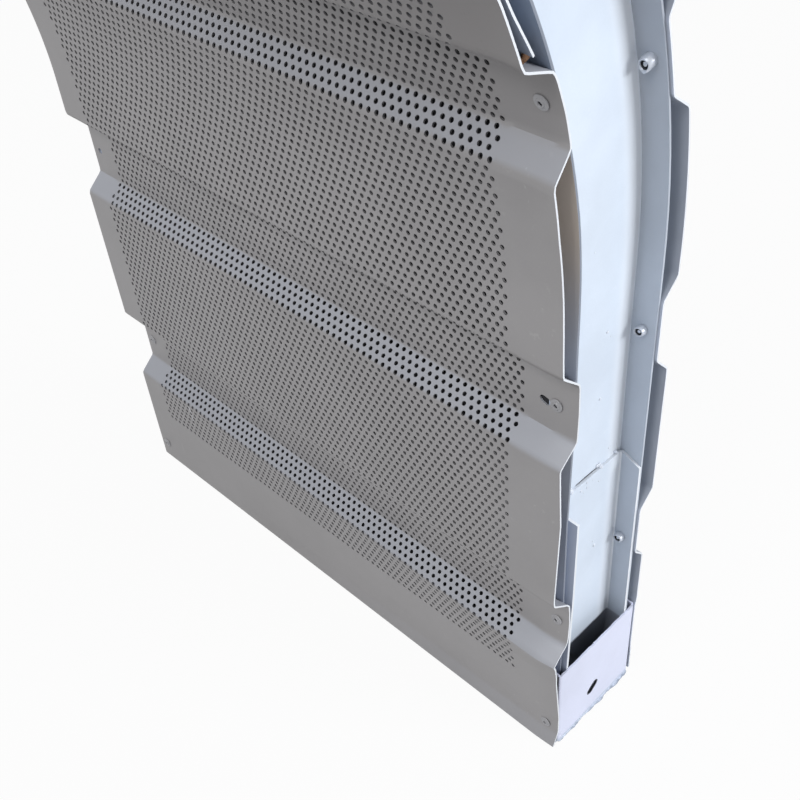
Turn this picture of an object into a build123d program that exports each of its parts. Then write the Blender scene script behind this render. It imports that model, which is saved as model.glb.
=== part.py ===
from build123d import *
import math
import os

# Curved section of a sound-absorbing metal barrier panel, in millimetres.
# X runs along the panel, +Y is its plain back, -Y its perforated front, +Z is up.
# The origin is the centre of the underside of the base channel.
# Developed heights ("rise") are measured from the bottom edge of the sheets,
# along the front face of the end channels for the front, and along their rear
# face for the back.

# overall
panel_length = 500.0        # sheets, end to end
panel_run = 841.0           # developed height of the panel at the channels' front face
straight_rise = 387.0       # straight leg, before the bend starts
bend_radius = 390.0         # of the channels' front face
sheet_lift = 2.0            # bottom edge of the sheets above the underside of the base
seat_gap = 0.05             # between faces that are fastened together

# end channels, one at each end, open outwards: a cut web plate between two rolled
# flange strips, welded along both edges
channel_depth = 76.3
channel_thickness = 1.5
channel_flange = 19.0       # width of the flange strips
channel_inset = 2.0         # free edges of the flanges in from the sheet ends
run_shift = 1.4             # channels stand in front of the middle of the base

# sleeve nested in the foot of each end channel
sleeve_thickness = 2.0
sleeve_rise = 231.0         # its top edge
sleeve_bend = 1.5           # inside bend radius
sleeve_edge_gap = 0.2       # free edges behind the base end plate

# front sheet: trapezoidal ribs
sheet_thickness = 1.2
front_bays = 4              # seated flats
first_flat = 115.6          # rise at which the first seated flat starts
flat_length = 41.3          # seated flat, on the channel flange
front_flank = 13.0
front_rib = 14.3            # depth of the ribs
corner_round = 9.0          # bottom corner at the left end

# lap between the lower and the upper front sheet, in the third rib
lap_bay_index = 2
lap_tail_start = 5.0        # free lower edge of the upper sheet above the rib's start
lap_tail_gap = 5.8          # how far it hangs behind the lower sheet
lap_settle = 53.0           # where the two sheets meet, above the rib's start
lap_end = 65.0              # upper edge of the lower sheet above the rib's start

# end zones of the front sheet, drawn in to the base and the top channel
toe_lip = 13.5              # flared lip at the very edge
toe_seat = 18.0             # flat stretch that the end rivet draws in
toe_shoulder = 17.0         # from the first fold to the shoulder
toe_lip_flare = 5.2
toe_shoulder_drop = 4.1

# back sheet: its own ribs
back_bays = 5
back_first_flat = 146.3
back_flat = 43.2
back_flank = 12.8
back_rib = 12.8
back_foot_rise = 80.0       # lower stretch lying on the base channel
back_step_rise = 88.0
back_step_rib = 9.2
back_end_margin = 50.0      # length above the last seated flat

# base channel, standing on the ground, and its end plates
base_play = 4.35            # mean gap between its walls and the end channels
base_height = 85.0
base_thickness = 1.5
end_plate_thickness = 1.5
base_plate_height = 84.0
slot_length = 13.5          # slanted slot in the base end plates
slot_width = 4.5
slot_angle = 39.0
slot_y = -2.8
slot_height = 28.3

# channel that closes the upper end
cap_height = 30.0

# glass wool filling
core_gap = 0.3

# blind rivets
shank_diameter = 4.8
hole_clearance = 0.1
head_diameter = 9.2
head_height = 1.6
head_rim = 0.5
head_seat = 0.1
tail_diameter = 7.0
tail_length = 6.0
tail_round = 1.0
bore_diameter = 2.4
end_rivet_rise = 18.2       # end rivets, in from each end of the run
front_rivet_rise = [21.5, 20.5, 21.5, 20.0]     # rivet above the start of its flat
front_inset_right = [11.0, 9.0, 14.5, 12.0, 12.0, 12.0]
front_inset_left = [9.0, 9.0, 9.0, 12.0, 12.0, 12.0]
empty_hole_index = 2        # third hole at the left end has lost its rivet
back_rivet_rise = [13.5, 20.0, 19.5, 18.0, 18.0]
back_inset = 11.0

# derived
half_length = panel_length / 2
half_depth = channel_depth / 2
base_width = channel_depth + 2 * (base_play + base_thickness)
half_base = base_width / 2
rear_radius = bend_radius + channel_depth
bend_y = -(run_shift + half_depth + bend_radius)
bend_z = sheet_lift + straight_rise
bend_angle = (panel_run - straight_rise) / bend_radius
back_run = straight_rise + bend_angle * rear_radius
web_x = half_length - channel_inset - channel_flange
sleeve_x = web_x + channel_thickness + seat_gap
sleeve_depth = channel_depth - 2 * (channel_thickness + seat_gap)
sleeve_flange = half_length - end_plate_thickness - sleeve_edge_gap - sleeve_x
toe_offset = half_base - half_depth - run_shift + seat_gap
back_toe_offset = toe_offset + 2 * run_shift
toe_low = toe_lip + toe_seat
fold = first_flat - front_flank
shoulder = fold - toe_shoulder
front_pitch = (panel_run - 2 * fold - 2 * front_flank - flat_length) / (front_bays - 1)
front_flats = [first_flat + bay * front_pitch for bay in range(front_bays)]
cap_sagitta = cap_height ** 2 / (2 * rear_radius)
back_top_offset = back_toe_offset + cap_sagitta + seat_gap
back_top_flank = back_flank * back_top_offset / back_rib
back_pitch = (back_run - back_end_margin - back_flat - back_first_flat) / (back_bays - 1)
back_flats = [back_first_flat + bay * back_pitch for bay in range(back_bays)]


def place(rise, reach, straight_line):
    """Point at a developed height; reach is the distance from the bend's centre,
    straight_line the radius along which the developed height is measured."""
    if rise <= straight_rise:
        return Vector(0, bend_y + reach, sheet_lift + rise)
    angle = (rise - straight_rise) / straight_line
    return Vector(0, bend_y + reach * math.cos(angle), bend_z + reach * math.sin(angle))


def shifted(path, distance):
    """The developed path moved sideways by a distance, with mitred corners."""
    moved = []
    for index, (rise, offset) in enumerate(path):
        before = path[max(index - 1, 0)]
        after = path[min(index + 1, len(path) - 1)]
        directions = []
        for start, end in ((before, (rise, offset)), ((rise, offset), after)):
            length = math.hypot(end[0] - start[0], end[1] - start[1])
            if length > 0:
                directions.append(((end[0] - start[0]) / length, (end[1] - start[1]) / length))
        first, last = directions[0], directions[-1]
        scale = distance / (1 + first[0] * last[0] + first[1] * last[1])
        moved.append((rise - scale * (first[1] + last[1]), offset + scale * (first[0] + last[0])))
    moved[0] = (path[0][0], moved[0][1])
    moved[-1] = (path[-1][0], moved[-1][1])
    return moved


def outline(loop, straight_line):
    """Closed face in the YZ plane through developed points (rise, radius)."""
    edges = []
    for (rise_a, reach_a), (rise_b, reach_b) in zip(loop, loop[1:] + loop[:1]):
        stops = [(rise_a, reach_a), (rise_b, reach_b)]
        if (rise_a - straight_rise) * (rise_b - straight_rise) < -1e-9:
            share = (straight_rise - rise_a) / (rise_b - rise_a)
            stops.insert(1, (straight_rise, reach_a + share * (reach_b - reach_a)))
        for start, end in zip(stops, stops[1:]):
            low, high = place(*start, straight_line), place(*end, straight_line)
            if max(start[0], end[0]) <= straight_rise or abs(start[0] - end[0]) < 1e-6:
                edges.append(Line(low, high))
            else:
                middle = ((start[0] + end[0]) / 2, (start[1] + end[1]) / 2)
                edges.append(ThreePointArc(low, place(*middle, straight_line), high))
    return Face(Wire(edges))


def bent_sheet(path, side, length):
    """Sheet along a developed path of inner-face offsets, extruded along X."""
    line = bend_radius if side < 0 else rear_radius
    inner = [(rise, line + side * offset) for rise, offset in path]
    outer = [(rise, line + side * offset) for rise, offset in shifted(path, sheet_thickness)]
    face = outline(inner + outer[::-1], line)
    return extrude(face, amount=length / 2, dir=(1, 0, 0), both=True)


def channel_section(start_x, flange, depth, thickness, bend):
    """C section in the XY plane, open towards +X."""
    section = Pos(start_x + flange / 2, 0) * Rectangle(flange, depth)
    section -= Pos(start_x + thickness + flange / 2, 0) * Rectangle(flange, depth - 2 * thickness)
    near = section.vertices().filter_by_position(Axis.X, start_x - 0.01, start_x + 0.01)
    section = fillet(near, bend + thickness)
    corner = start_x + thickness
    near = section.vertices().filter_by_position(Axis.X, corner - 0.01, corner + 0.01)
    return fillet(near, bend)


def tray(width, height, thickness, length):
    """U channel along X, standing on Z = 0, open upwards."""
    block = Pos(0, 0, height / 2) * Box(length, width, height)
    return block - Pos(0, 0, height / 2 + thickness) * Box(length, width - 2 * thickness, height)


# rivet seats: (x, rise, offset of the outer face, side, deepest fastened face)
def depth_of_grip(rise):
    sleeve = seat_gap + sleeve_thickness if rise < sleeve_rise else 0
    return channel_thickness + sleeve


def toe_inner(x):
    share = (x + half_length) / panel_length
    return front_rib + (toe_offset - front_rib) * share


front_rises = [end_rivet_rise]
front_rises += [start + rise for start, rise in zip(front_flats, front_rivet_rise)]
front_rises += [panel_run - end_rivet_rise]
back_rises = [end_rivet_rise]
back_rises += [start + rise for start, rise in zip(back_flats, back_rivet_rise)]
back_rises += [back_run - end_rivet_rise]


def front_seat(index, x):
    if index == 0:
        return toe_inner(x)
    if index == len(front_rises) - 1:
        return toe_offset
    return seat_gap


def back_seat(index):
    if index == 0:
        return back_toe_offset
    if index == len(back_rises) - 1:
        return back_top_offset
    return seat_gap


def seat_plane(x, rise, offset, side):
    """Plane at a rivet's head seat, its normal pointing out of the panel."""
    line = bend_radius if side < 0 else rear_radius
    angle = max(rise - straight_rise, 0) / line
    origin = place(rise, line + side * offset, line) + Vector(x, 0, 0)
    outward = (0, side * math.cos(angle), side * math.sin(angle))
    return Plane(origin=origin, x_dir=(1, 0, 0), z_dir=outward)


def rivet(grip):
    """Blind rivet, its head seat at Z = 0 and its shank down to -grip."""
    radius = head_diameter / 2
    rim = Vector(radius, 0, head_rim)
    crown = Vector(0, 0, head_height)
    rise = Vector(radius * 0.6, 0, head_rim + (head_height - head_rim) * 0.72)
    profile = Wire([Line((0, 0, 0), (radius, 0, 0)), Line((radius, 0, 0), rim),
                    ThreePointArc(rim, rise, crown), Line(crown, (0, 0, 0))])
    body = revolve(Face(profile), Axis.Z, 360)
    tail = fillet(Cylinder(tail_diameter / 2, tail_length).edges(), tail_round)
    body += Pos(0, 0, -grip / 2) * Cylinder(shank_diameter / 2, grip + 0.2)
    body += Pos(0, 0, -grip - tail_length / 2) * tail
    return body - Cylinder(bore_diameter / 2, 2 * (grip + 2 * tail_length))


rivets = {}
holes = []
for hand, sign in (("right", 1), ("left", -1)):
    insets = front_inset_right if sign > 0 else front_inset_left
    for index, rise in enumerate(front_rises):
        x = sign * (half_length - insets[index % len(insets)])
        outer = front_seat(index, x) + sheet_thickness + head_seat
        plane = seat_plane(x, rise, outer, -1)
        grip = outer + depth_of_grip(rise) + seat_gap
        holes.append((plane, grip))
        if sign > 0 or index != empty_hole_index:
            rivets[f"front_rivet_{hand}_{index + 1}"] = plane * rivet(grip)
    for index, rise in enumerate(back_rises):
        x = sign * (half_length - back_inset)
        outer = back_seat(index) + sheet_thickness + head_seat
        plane = seat_plane(x, rise, outer, 1)
        grip = outer + depth_of_grip(rise) + seat_gap
        holes.append((plane, grip))
        rivets[f"back_rivet_{hand}_{index + 1}"] = plane * rivet(grip)


def drilled(shape):
    """The piece with every rivet hole that passes through it."""
    for plane, grip in holes:
        drill = Cylinder((shank_diameter + hole_clearance) / 2, grip + 2)
        shape -= plane * Pos(0, 0, -grip / 2) * drill
    return shape


# front sheets
def rib_path(first_bay, last_bay):
    """Folds of the seated flats from one bay to another."""
    path = []
    for start in front_flats[first_bay:last_bay + 1]:
        end = start + flat_length
        path += [(start - front_flank, front_rib), (start, seat_gap)]
        path += [(end, seat_gap), (end + front_flank, front_rib)]
    return path


def toe_face(inner, outer, x):
    """Cross-section of the straight end zone at one end of the panel."""
    loop = inner + outer[::-1]
    corners = [place(rise, bend_radius - offset, bend_radius) for rise, offset in loop]
    return Wire.make_polygon([point + Vector(x, 0, 0) for point in corners], close=True)


lip_offset = toe_offset + toe_lip_flare
shoulder_offset = front_rib - toe_shoulder_drop
drawn_toe = [(0, lip_offset), (toe_lip, toe_offset), (toe_low, toe_offset),
             (shoulder, shoulder_offset), (fold, front_rib)]
plain_toe = [(rise, front_rib) for rise, offset in drawn_toe]
lap_start = front_flats[lap_bay_index] + flat_length + front_flank
ribs_path = rib_path(0, lap_bay_index)[1:] + [(lap_start + lap_end, front_rib)]
lower_path = plain_toe + ribs_path
lower_outer = shifted(lower_path, sheet_thickness)
joint = len(plain_toe) - 1
left_toe = toe_face(plain_toe, lower_outer[:joint + 1], -half_length)
drawn_outer = shifted(drawn_toe, sheet_thickness)[:joint] + [lower_outer[joint]]
right_toe = toe_face(drawn_toe, drawn_outer, half_length)
toe = Solid.make_loft([left_toe, right_toe], ruled=True)
inner = [(rise, bend_radius - offset) for rise, offset in lower_path[joint:]]
outer = [(rise, bend_radius - offset) for rise, offset in lower_outer[joint:]]
ribs_face = outline(inner + outer[::-1], bend_radius)
ribs = extrude(ribs_face, amount=half_length, dir=(1, 0, 0), both=True)
corner_side = 2 * base_width
corner = Pos(corner_round / 2, 0, corner_round / 2) * Box(corner_round, corner_side, corner_round)
corner -= Pos(corner_round, 0, corner_round) * Rot(X=90) * Cylinder(corner_round, corner_side)
front_sheet_lower = drilled(ribs + toe) - Pos(-half_length, 0, sheet_lift) * corner

nested = front_rib - sheet_thickness - seat_gap
upper_fold = front_flats[lap_bay_index + 1] - front_flank - sheet_thickness
upper_path = [(lap_start + lap_tail_start, nested - lap_tail_gap),
              (lap_start + lap_settle, nested), (upper_fold, nested)]
upper_path += rib_path(lap_bay_index + 1, front_bays - 1)[1:]
upper_path += [(panel_run - shoulder, shoulder_offset), (panel_run - toe_low, toe_offset),
               (panel_run - toe_lip, toe_offset), (panel_run, lip_offset)]
front_sheet_upper = drilled(bent_sheet(upper_path, -1, panel_length))

# back sheet
step_flank = back_flank * back_step_rib / back_rib
back_path = [(0, back_toe_offset), (back_foot_rise, back_toe_offset), (back_step_rise, back_step_rib),
             (back_first_flat - step_flank, back_step_rib)]
for bay, start in enumerate(back_flats):
    end = start + back_flat
    if bay > 0:
        back_path.append((start - back_flank, back_rib))
    back_path += [(start, seat_gap), (end, seat_gap)]
    if bay < back_bays - 1:
        back_path.append((end + back_flank, back_rib))
back_path += [(end + back_top_flank, back_top_offset), (back_run, back_top_offset)]
back_sheet = drilled(bent_sheet(back_path, 1, panel_length))

# end channels
foot_z = base_thickness
foot_rise = foot_z - sheet_lift


def run_strip(near, far, start_x, width):
    """Plate that follows the run between two radii, from start_x outwards."""
    corners = [(foot_rise, near), (panel_run, near), (panel_run, far), (foot_rise, far)]
    face = outline(corners, bend_radius)
    return Pos(start_x, 0, 0) * extrude(face, amount=width, dir=(1, 0, 0))


front_inside = bend_radius + channel_thickness
rear_inside = rear_radius - channel_thickness
end_web = run_strip(front_inside, rear_inside, web_x, channel_thickness)
front_flange = drilled(run_strip(bend_radius, front_inside, web_x, channel_flange))
rear_flange = drilled(run_strip(rear_inside, rear_radius, web_x, channel_flange))
front_flange_blank = mirror(run_strip(bend_radius, front_inside, web_x, channel_flange), about=Plane.YZ)
rear_flange_blank = mirror(run_strip(rear_inside, rear_radius, web_x, channel_flange), about=Plane.YZ)

# sleeves in their feet
section = channel_section(sleeve_x, sleeve_flange, sleeve_depth, sleeve_thickness, sleeve_bend)
sleeve_length = sheet_lift + sleeve_rise - foot_z
sleeve = extrude(Pos(0, -run_shift, foot_z) * section, amount=sleeve_length, dir=(0, 0, 1))
sleeve_right = drilled(sleeve)
sleeve_left = drilled(mirror(sleeve, about=Plane.YZ))

# base channel and its end plates
tray_length = panel_length - 2 * end_plate_thickness
base_channel = drilled(tray(base_width, base_height, base_thickness, tray_length))
plate_x = half_length - end_plate_thickness / 2
base_plate = Pos(plate_x, 0, base_plate_height / 2) * Box(end_plate_thickness, base_width, base_plate_height)
slot_plane = Plane(origin=(half_length, slot_y, slot_height), x_dir=(0, 1, 0), z_dir=(1, 0, 0))
slot = slot_plane * SlotOverall(slot_length, slot_width, rotation=slot_angle)
base_plate -= extrude(slot, amount=2 * end_plate_thickness, both=True)

# top channel and its end plates
top_frame = Pos(0, bend_y, bend_z) * Rot(X=math.degrees(bend_angle))
top_frame = top_frame * Pos(0, bend_radius + half_depth + run_shift, base_thickness)
top_channel = top_frame * Rot(X=180) * tray(base_width, cap_height, base_thickness, tray_length)
top_channel = drilled(top_channel)
top_plate = Pos(plate_x, 0, -cap_height / 2) * Box(end_plate_thickness, base_width, cap_height)
top_plate = top_frame * top_plate

# glass wool board
core_low = foot_z + core_gap - sheet_lift
core_high = panel_run - core_gap
core_front = bend_radius + core_gap
core_rear = rear_radius - core_gap
core_face = outline([(core_low, core_front), (core_high, core_front),
                     (core_high, core_rear), (core_low, core_rear)], bend_radius)
absorber_core = extrude(core_face, amount=web_x - core_gap, dir=(1, 0, 0), both=True)

pieces = {
    "base_channel": base_channel,
    "base_plate_right": base_plate,
    "base_plate_left": mirror(base_plate, about=Plane.YZ),
    "front_sheet_lower": front_sheet_lower,
    "front_sheet_upper": front_sheet_upper,
    "back_sheet": back_sheet,
    "end_web_right": end_web,
    "end_web_left": mirror(end_web, about=Plane.YZ),
    "front_flange_right": front_flange,
    "front_flange_left": drilled(front_flange_blank),
    "rear_flange_right": rear_flange,
    "rear_flange_left": drilled(rear_flange_blank),
    "sleeve_right": sleeve_right,
    "sleeve_left": sleeve_left,
    "top_channel": top_channel,
    "top_plate_right": top_plate,
    "top_plate_left": mirror(top_plate, about=Plane.YZ),
    "absorber_core": absorber_core,
}
pieces.update(rivets)

os.makedirs("parts", exist_ok=True)
for name, shape in pieces.items():
    export_step(shape, f"parts/{name}.step")
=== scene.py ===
import math
import bpy
import numpy as np
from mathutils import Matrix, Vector


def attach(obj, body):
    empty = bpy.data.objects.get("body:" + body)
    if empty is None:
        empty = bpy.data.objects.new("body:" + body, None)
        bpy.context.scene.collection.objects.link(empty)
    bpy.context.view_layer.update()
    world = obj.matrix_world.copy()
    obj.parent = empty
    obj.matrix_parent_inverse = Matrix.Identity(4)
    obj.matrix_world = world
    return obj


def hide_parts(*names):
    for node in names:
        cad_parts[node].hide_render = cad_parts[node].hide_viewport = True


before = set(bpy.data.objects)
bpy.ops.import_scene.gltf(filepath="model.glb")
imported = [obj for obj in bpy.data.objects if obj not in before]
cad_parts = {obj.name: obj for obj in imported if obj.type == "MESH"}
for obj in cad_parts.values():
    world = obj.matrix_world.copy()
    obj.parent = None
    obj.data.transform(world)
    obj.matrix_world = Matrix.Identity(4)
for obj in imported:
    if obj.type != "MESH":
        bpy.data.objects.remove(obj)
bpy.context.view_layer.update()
scene = bpy.context.scene
mm = 0.001
print("frame loaded", len(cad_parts), "nodes")


# shader maths written as expressions
class Wire:
    def __init__(self, tree, socket):
        self.tree, self.socket = tree, socket

    def node(self, kind, settings=None, out=0, **inputs):
        return addNode(self.tree, kind, settings, out, **inputs)

    def maths(self, operation, a, b=None):
        second = {} if b is None else {"i1": b}
        return addNode(self.tree, "ShaderNodeMath", {"operation": operation}, 0, i0=a, **second)

    def __add__(self, other): return self.maths("ADD", self, other)
    def __radd__(self, other): return self.maths("ADD", other, self)
    def __sub__(self, other): return self.maths("SUBTRACT", self, other)
    def __rsub__(self, other): return self.maths("SUBTRACT", other, self)
    def __mul__(self, other): return self.maths("MULTIPLY", self, other)
    def __rmul__(self, other): return self.maths("MULTIPLY", other, self)


def addNode(tree, kind, settings=None, out=0, **inputs):
    node = tree.nodes.new(kind)
    for name, value in (settings or {}).items():
        if name == "stops":
            ramp = node.color_ramp
            while len(ramp.elements) < len(value):
                ramp.elements.new(0.5)
            for element, (place, shade) in zip(ramp.elements, value):
                element.position = place
                element.color = (*shade, 1)
        else:
            setattr(node, name, value)
    for name, value in inputs.items():
        key = int(name[1:]) if name[0] == "i" and name[1:].isdigit() else name.replace("_", " ")
        socket = node.inputs[key]
        if isinstance(value, Wire):
            tree.links.new(value.socket, socket)
        else:
            socket.default_value = value
    return Wire(tree, node.outputs[out]) if node.outputs else None


def newMaterial(name):
    material = bpy.data.materials.new(name)
    material.use_nodes = True
    material.node_tree.nodes.clear()
    return material, material.node_tree


def finishMaterial(tree, shader):
    addNode(tree, "ShaderNodeOutputMaterial", Surface=shader)


def mixColour(tree, factor, first, second):
    return addNode(tree, "ShaderNodeMix", {"data_type": "RGBA"}, 2, i0=factor, i6=first, i7=second)


def band(value, low, high):
    return value.node("ShaderNodeMapRange", {"interpolation_type": "SMOOTHSTEP"}, 0,
                      Value=value, From_Min=low, From_Max=high)


def noiseOf(tree, coord, scale, detail, rough):
    return addNode(tree, "ShaderNodeTexNoise", None, 0, Vector=coord, Scale=scale, Detail=detail,
                   Roughness=rough)


def rgb(red, green, blue):
    return tuple(((c / 255 + 0.055) / 1.055) ** 2.4 for c in (red, green, blue)) + (1,)


# run of the panel, in millimetres: straight leg, then a bend about an axis along X
bend = {"straight": 387, "radius": 390, "depth": 76.3, "shift": 1.4, "lift": 2, "halfLength": 250}
rearRadius = bend["radius"] + bend["depth"]
centreY = -(bend["shift"] + bend["depth"] / 2 + bend["radius"])
bendZ = bend["lift"] + bend["straight"]


def runRadius(side):
    return bend["radius"] if side < 0 else rearRadius


def axisOf(coord, index):
    return coord.node("ShaderNodeSeparateXYZ", None, index, Vector=coord)


def reachOf(coord):
    # distance from the axis of the bend, in metres
    y, z = axisOf(coord, 1) - centreY * mm, axisOf(coord, 2) - bendZ * mm
    over = z.maths("MAXIMUM", z, 0.0)
    total = y * y + over * over
    return total.maths("SQRT", total)


# base end plate, in millimetres: outline, slanted slot, burrs, and the lip left at its foot
plateLook = {
    "x": 250, "half": 44, "low": 0.2, "high": 84, "thickness": 1.5, "bend": 3.0, "bulge": 0.35,
    "slotAt": (-2.8, 28.3), "slotRun": 3.05, "slotRadius": 3.1, "slotAngle": 39,
    "burrs": [(-4.5, 84.1, 0.8), (-31, 1.0, 1.1), (-27.5, 0.8, 0.9), (-17, 0.7, 0.8), (27, 1.0, 1.0),
              (31.5, 1.2, 0.8), (3, 0.6, 0.7)],
    "lipWidth": 1.0, "lipGrowth": 0.5, "lipRough": 0.7, "lipLimits": (0.3, 2.2), "lipSunk": 0.9,
    # the foot colour is painted shade on the rolled foot; the bottom line is darker along the lowest edge
    "foot": rgb(186, 196, 212), "footShadeBand": (0.0042, 0.0058), "bottomLine": rgb(120, 130, 146),
    "bottomLineBand": (0.001, 0.002), "bare": rgb(62, 66, 78), "bareRing": (0.7, 1.1),
}


def plateShade(tree, coord, shade):
    # painted shade makes the rolled foot grey, darker along the lowest edge, and paint is lost round the slot
    k = plateLook
    rough = noiseOf(tree, coord, 260, 3, 0.6) - 0.5
    z = axisOf(coord, 2) + rough * 0.0025
    shade = mixColour(tree, (1 - band(z, *k["footShadeBand"])) * 0.8, shade, k["foot"])
    shade = mixColour(tree, (1 - band(z, *k["bottomLineBand"])) * 0.8, shade, k["bottomLine"])
    lean = math.radians(k["slotAngle"])
    across = axisOf(coord, 1) - k["slotAt"][0] * mm
    up = axisOf(coord, 2) - k["slotAt"][1] * mm
    along = across * math.cos(lean) + up * math.sin(lean)
    beside = up * math.cos(lean) - across * math.sin(lean)
    past = along.maths("ABSOLUTE", along) - k["slotRun"] * mm
    past = past.maths("MAXIMUM", past, 0.0)
    total = past * past + beside * beside
    near = total.maths("SQRT", total) + rough * 0.0012
    ring = [(k["slotRadius"] + wide) * mm for wide in k["bareRing"]]
    return mixColour(tree, 1 - band(near, *ring), shade, k["bare"])


# painted shade for the pocket behind the end plate
pocketShadeLook = {"colour": rgb(134, 138, 147), "band": (0.0745, 0.0775)}


def pocketShadeBelow(tree, coord, shade):
    # darker tone in the pocket behind the end plate: painted shade below about 75 mm
    return mixColour(tree, 1 - band(axisOf(coord, 2), *pocketShadeLook["band"]), shade, pocketShadeLook["colour"])


# painted light in the rear flange's shadow on the web, and a painted highlight on its fold line
webLook = {"shadowFillBand": (0.002, 0.021), "depth": 0.75, "shadowFill": rgb(234, 237, 241),
           "foldHighlightBand": (0.0024, 0.0032), "light": rgb(232, 238, 246)}


def webPaintedLight(tree, coord, shade):
    # painted light: the web is lightened towards the rolled edge of the rear flange, in that flange's shadow,
    # with a painted highlight on the fold line at the end, and the pocket's painted shade below
    inside = rearRadius * mm - reachOf(coord)
    shadowFill = 1 - band(inside, *webLook["shadowFillBand"])
    shade = mixColour(tree, shadowFill * webLook["depth"], shade, webLook["shadowFill"])
    line = 1 - band(inside, *webLook["foldHighlightBand"])
    return pocketShadeBelow(tree, coord, mixColour(tree, line * 0.8, shade, webLook["light"]))


# front flange: painted shade at the foot and further up, a painted warm reflection in the second rib
flangeLook = {
    "foot": rgb(176, 186, 206), "footShadeBand": (0.228, 0.262),
    "paintedLightTone": rgb(213, 202, 191), "paintedLightToneStart": (0.36, 0.45), "paintedLightToneEnd": (0.49, 0.52),
    "upper": rgb(150, 162, 180), "upperShadeBand": (0.5, 0.54),
    "rearTopShade": rgb(150, 156, 166), "rearTopShadeBand": (0.36, 0.62),
}


def frontFlangePaintedLight(tree, coord, shade):
    # painted shade at the foot, a painted warm reflection in the second rib, painted slate shade further up
    k, z = flangeLook, axisOf(coord, 2)
    shade = mixColour(tree, 1 - band(z, *k["footShadeBand"]), shade, k["foot"])
    paintedLightTone = band(z, *k["paintedLightToneStart"]) * (1 - band(z, *k["paintedLightToneEnd"]))
    shade = mixColour(tree, paintedLightTone, shade, k["paintedLightTone"])
    return mixColour(tree, band(z, *k["upperShadeBand"]), shade, k["upper"])


def rearFlangePaintedShade(tree, coord, shade):
    # painted shade: the rear flange darker towards its top, and the pocket's painted shade below
    high = band(axisOf(coord, 2), *flangeLook["rearTopShadeBand"])
    return pocketShadeBelow(tree, coord, mixColour(tree, high, shade, flangeLook["rearTopShade"]))


# painted light on the front sheets by the way each face turns: lighter facing up, darker facing down
frontTones = {"paleTone": rgb(178, 182, 192), "topLightBand": (0.12, 0.72), "topLightShare": 0.7,
              "paintedLightTone": rgb(128, 125, 125), "paintedLightToneBand": (-0.5, -0.1), "paintedLightToneShare": 0.95}


def frontPaintedLight(tree, coord, shade):
    # painted light on the slopes that face up, painted shade where the sheet faces down
    k = frontTones
    up = axisOf(addNode(tree, "ShaderNodeNewGeometry", None, 1), 2)
    shade = mixColour(tree, band(up, *k["topLightBand"]) * k["topLightShare"], shade, k["paleTone"])
    return mixColour(tree, (1 - band(up, *k["paintedLightToneBand"])) * k["paintedLightToneShare"], shade, k["paintedLightTone"])


# powder coat: even colour with faint clouding, orange peel, dust and a few light scuffs
def powderCoat(name, colour, dusty, rough=0.48, peel=0.06, cloud=0.05, wave=0.0, scuffs=0.0, metal=0.0,
               extra=None):
    material, tree = newMaterial(name)
    coord = addNode(tree, "ShaderNodeTexCoord", None, 3)
    clouds = noiseOf(tree, coord, 14, 4, 0.55)
    fine = noiseOf(tree, coord, 900, 2, 0.5)
    specks = noiseOf(tree, coord, 210, 3, 0.6)
    paleTone = band(specks, 0.63, 0.72) * band(clouds, 0.42, 0.62)
    tone = (band(clouds, 0.3, 0.7) * cloud * 2 + (1 - cloud)) + (fine - 0.5) * 0.05
    shade = addNode(tree, "ShaderNodeVectorMath", {"operation": "SCALE"}, 0, i0=colour[:3], Scale=tone)
    shade = mixColour(tree, paleTone * 0.35, shade, dusty)
    if scuffs > 0:
        along = addNode(tree, "ShaderNodeMapping", None, 0, Vector=coord,
                        Scale=(140, 140, 12), Rotation=(0.5, 0.9, 0.2))
        lines = noiseOf(tree, along, 1, 3, 0.6)
        patch = noiseOf(tree, coord, 9, 1, 0.5)
        scuff = band(lines, 0.7, 0.74) * band(patch, 0.56, 0.66)
        shade = mixColour(tree, scuff * scuffs, shade, rgb(214, 216, 222))
    if extra:
        shade = extra(tree, coord, shade)
    peelNoise = noiseOf(tree, coord, 520, 2, 0.5)
    normal = addNode(tree, "ShaderNodeBump", None, 0, Strength=peel, Distance=0.0004, Height=peelNoise)
    if wave > 0:
        waveNoise = noiseOf(tree, coord, 9, 1, 0.4)
        normal = addNode(tree, "ShaderNodeBump", None, 0, Strength=wave, Distance=0.004,
                         Height=waveNoise, Normal=normal)
    roughness = rough + (clouds - 0.5) * 0.12 + paleTone * 0.2
    shader = addNode(tree, "ShaderNodeBsdfPrincipled", None, 0, Base_Color=shade,
                     Metallic=metal, Roughness=roughness, Normal=normal)
    finishMaterial(tree, shader)
    return material


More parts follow.
